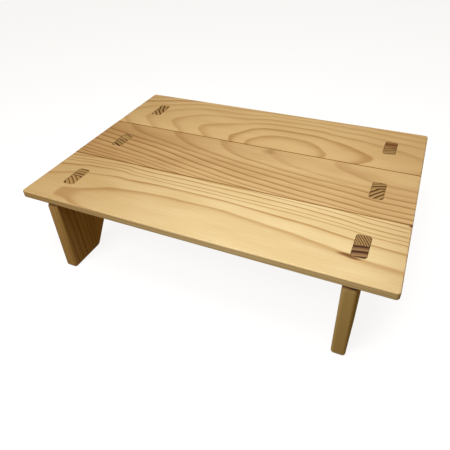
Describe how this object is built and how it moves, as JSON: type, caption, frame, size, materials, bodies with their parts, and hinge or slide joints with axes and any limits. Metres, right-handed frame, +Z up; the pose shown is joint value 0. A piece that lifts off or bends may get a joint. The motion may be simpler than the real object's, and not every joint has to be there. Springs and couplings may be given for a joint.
{
  "type": "low camp table",
  "caption": "Low knock-down softwood camp table whose loose top boards drop over through tenons on cut-out leg panels.",
  "frame": {"origin": "on the ground, under the middle of the table top's outline", "axes": "+X along the boards to the right, +Y towards the back edge, +Z up"},
  "size_m": [0.6, 0.426, 0.1543],
  "materials": {
    "front_board": "planed and sanded light sapwood, oiled matte",
    "middle_board": "planed and sanded pinkish heartwood, oiled matte",
    "back_board": "planed and sanded honey-coloured heartwood, oiled matte",
    "leg_staves": "planed edge-glued softwood staves with end grain at the tenons, oiled matte"
  },
  "bodies": {
    "left_leg": {"left_leg_stave_1": "leg_staves", "left_leg_stave_2": "leg_staves", "left_leg_stave_3": "leg_staves", "left_leg_stave_4": "leg_staves", "left_leg_stave_5": "leg_staves", "left_leg_stave_6": "leg_staves"},
    "right_leg": {"right_leg_stave_1": "leg_staves", "right_leg_stave_2": "leg_staves", "right_leg_stave_3": "leg_staves", "right_leg_stave_4": "leg_staves", "right_leg_stave_5": "leg_staves", "right_leg_stave_6": "leg_staves"},
    "front_board": {"front_board": "front_board"},
    "middle_board": {"middle_board": "middle_board"},
    "back_board": {"back_board": "back_board"}
  },
  "joints": [
    {"name": "front_board_lift", "type": "slide", "parent": "left_leg", "child": "front_board", "axis": [0, 0, 1], "range_m": [0, 0.04]},
    {"name": "middle_board_lift", "type": "slide", "parent": "left_leg", "child": "middle_board", "axis": [0, 0, 1], "range_m": [0, 0.04]},
    {"name": "back_board_lift", "type": "slide", "parent": "left_leg", "child": "back_board", "axis": [0, 0, 1], "range_m": [0, 0.04]},
    {"name": "right_leg_pull", "type": "slide", "parent": "left_leg", "child": "right_leg", "axis": [0, 0, -1], "range_m": [0, 0.04]}
  ]
}
